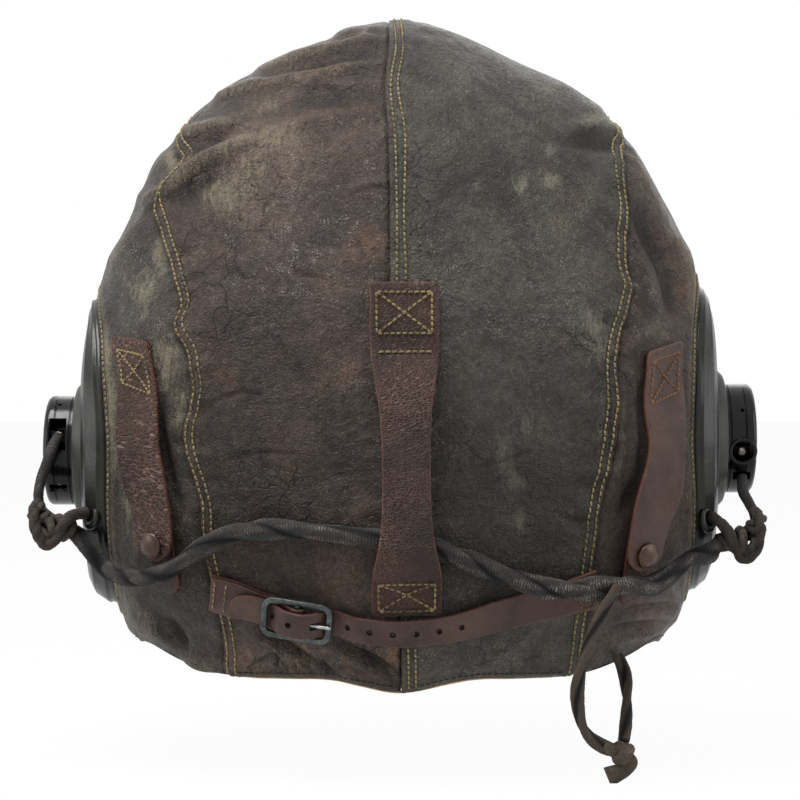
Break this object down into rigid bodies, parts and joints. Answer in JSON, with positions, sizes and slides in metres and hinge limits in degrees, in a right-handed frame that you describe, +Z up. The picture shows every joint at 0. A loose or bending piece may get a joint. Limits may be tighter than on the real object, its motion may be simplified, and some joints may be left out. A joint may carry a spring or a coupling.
{
  "type": "flying helmet",
  "caption": "Leather flying helmet with rubber ear cups, telephone receivers, goggle straps, nape strap with buckle, chin strap and a braided cord across the back.",
  "frame": {"origin": "middle of the wearer's head, on the line between the ears", "axes": "+X to the wearer's right along the ear line, +Y out of the face opening, +Z up"},
  "size_m": [0.2889, 0.2039, 0.2935],
  "materials": {
    "hood_leather": "worn, scuffed",
    "strap_leather": "pebbled, worn",
    "lining_suede": "soft suede",
    "pad_leather": "matt",
    "cup_rubber": "matt moulded",
    "bakelite": "moulded, glossy",
    "stud_lacquer": "dark lacquer",
    "buckle_steel": "blackened",
    "nickel": "nickel plated",
    "magnet_steel": "ground",
    "copper_winding": "enamelled copper wire",
    "cord_cotton": "braided cotton"
  },
  "bodies": {
    "hood": {"crown_panel_left": "hood_leather", "side_panel_left": "hood_leather", "side_lining_left": "lining_suede", "ear_cup_left": "cup_rubber", "ear_pad_left": "pad_leather", "receiver_shell_left": "bakelite", "receiver_cap_left": "bakelite", "diaphragm_left": "magnet_steel", "magnet_left": "magnet_steel", "coil_left": "copper_winding", "terminal_block_left": "bakelite", "terminal_screw_upper_left": "nickel", "terminal_screw_lower_left": "nickel", "goggle_strap_head_left": "strap_leather", "stud_patch_left": "strap_leather", "goggle_stud_left_post": "nickel", "mask_stud_upper_left": "nickel", "mask_stud_lower_left": "nickel", "receiver_lead_left": "cord_cotton", "tie_cord_left": "cord_cotton", "crown_panel_right": "hood_leather", "side_panel_right": "hood_leather", "side_lining_right": "lining_suede", "ear_cup_right": "cup_rubber", "ear_pad_right": "pad_leather", "receiver_shell_right": "bakelite", "receiver_cap_right": "bakelite", "diaphragm_right": "magnet_steel", "magnet_right": "magnet_steel", "coil_right": "copper_winding", "terminal_block_right": "bakelite", "terminal_screw_upper_right": "nickel", "terminal_screw_lower_right": "nickel", "goggle_strap_head_right": "strap_leather", "stud_patch_right": "strap_leather", "goggle_stud_right_post": "nickel", "mask_stud_upper_right": "nickel", "mask_stud_lower_right": "nickel", "receiver_lead_right": "cord_cotton", "tie_cord_right": "cord_cotton", "crown_lining": "lining_suede", "brow_band": "hood_leather", "centre_goggle_strap": "strap_leather", "nape_strap": "strap_leather", "buckle_strap": "strap_leather", "chin_strap_head": "strap_leather", "chin_tab": "strap_leather", "chin_stud_post": "nickel", "loom": "cord_cotton", "drop_cord": "cord_cotton", "drop_cord_back": "cord_cotton", "drop_cord_knot": "cord_cotton"},
    "goggle_strap_left": {"goggle_strap_left": "strap_leather", "goggle_stud_left_cap": "stud_lacquer"},
    "goggle_strap_right": {"goggle_strap_right": "strap_leather", "goggle_stud_right_cap": "stud_lacquer"},
    "chin_strap": {"chin_strap": "strap_leather", "chin_stud_cap": "stud_lacquer"},
    "buckle_frame": {"buckle_frame": "buckle_steel"},
    "buckle_prong": {"buckle_prong": "buckle_steel"}
  },
  "joints": [
    {"name": "goggle_strap_left_lift", "type": "hinge", "parent": "hood", "child": "goggle_strap_left", "pos_m": [-0.10366, -0.06301, 0.02478], "axis": [-0.7101, 0.663, -0.2373], "range_deg": [0, 110]},
    {"name": "goggle_strap_right_lift", "type": "hinge", "parent": "hood", "child": "goggle_strap_right", "pos_m": [0.10321, -0.06382, 0.02159], "axis": [-0.7241, -0.6865, 0.0665], "range_deg": [0, 110]},
    {"name": "chin_strap_swing", "type": "hinge", "parent": "hood", "child": "chin_strap", "pos_m": [-0.10815, 0.04071, -0.07095], "axis": [0.2983, 0.9404, 0.1634], "range_deg": [0, 95]},
    {"name": "buckle_frame_rock", "type": "hinge", "parent": "hood", "child": "buckle_frame", "pos_m": [-0.03861, -0.09, -0.06662], "axis": [-0.0897, 0.3921, -0.9155], "range_deg": [-2, 2]},
    {"name": "buckle_prong_lift", "type": "hinge", "parent": "buckle_frame", "child": "buckle_prong", "pos_m": [-0.03861, -0.09, -0.06662], "axis": [-0.0897, 0.3921, -0.9155], "range_deg": [0, 5]}
  ]
}
